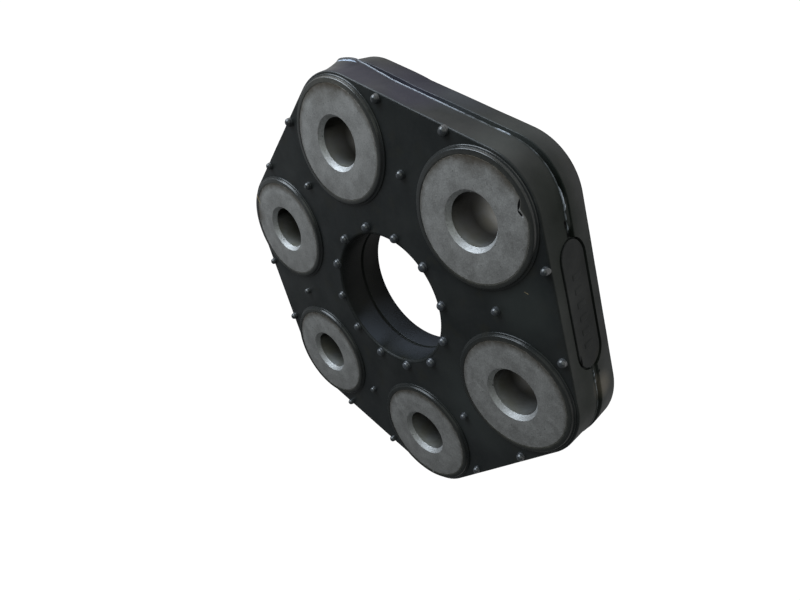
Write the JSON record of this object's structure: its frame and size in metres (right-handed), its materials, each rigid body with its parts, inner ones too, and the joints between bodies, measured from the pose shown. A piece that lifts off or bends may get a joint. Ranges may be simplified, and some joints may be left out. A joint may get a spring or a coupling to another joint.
{
  "type": "rubber coupling",
  "caption": "Flat moulded rubber flex coupling with a ring of steel bushes for bolting two shaft flanges together, a round centre hole and an oblong marking panel on the rim.",
  "frame": {"origin": "centre of the bolt circle, on the plane of the rear steel faces", "axes": "+Z along the coupling axis towards the face with the vent pips, +X through the axis of bush 1, -Y towards the side of the rim with the marking panel"},
  "size_m": [0.1404, 0.1273, 0.021],
  "materials": {
    "rubber": "satin black moulded",
    "disc_steel": "matte blasted",
    "sleeve_steel": "drawn tube",
    "cord": "wound polyester cord"
  },
  "bodies": {
    "root": {"rubber_body": "rubber", "front_disc_1": "disc_steel", "front_disc_2": "disc_steel", "front_disc_3": "disc_steel", "front_disc_4": "disc_steel", "front_disc_5": "disc_steel", "front_disc_6": "disc_steel", "rear_disc_1": "disc_steel", "rear_disc_2": "disc_steel", "rear_disc_3": "disc_steel", "rear_disc_4": "disc_steel", "rear_disc_5": "disc_steel", "rear_disc_6": "disc_steel", "sleeve_1": "sleeve_steel", "sleeve_2": "sleeve_steel", "sleeve_3": "sleeve_steel", "sleeve_4": "sleeve_steel", "sleeve_5": "sleeve_steel", "sleeve_6": "sleeve_steel", "cord_pack_1": "cord", "cord_pack_2": "cord", "cord_pack_3": "cord", "cord_pack_4": "cord", "cord_pack_5": "cord", "cord_pack_6": "cord"}
  },
  "joints": []
}
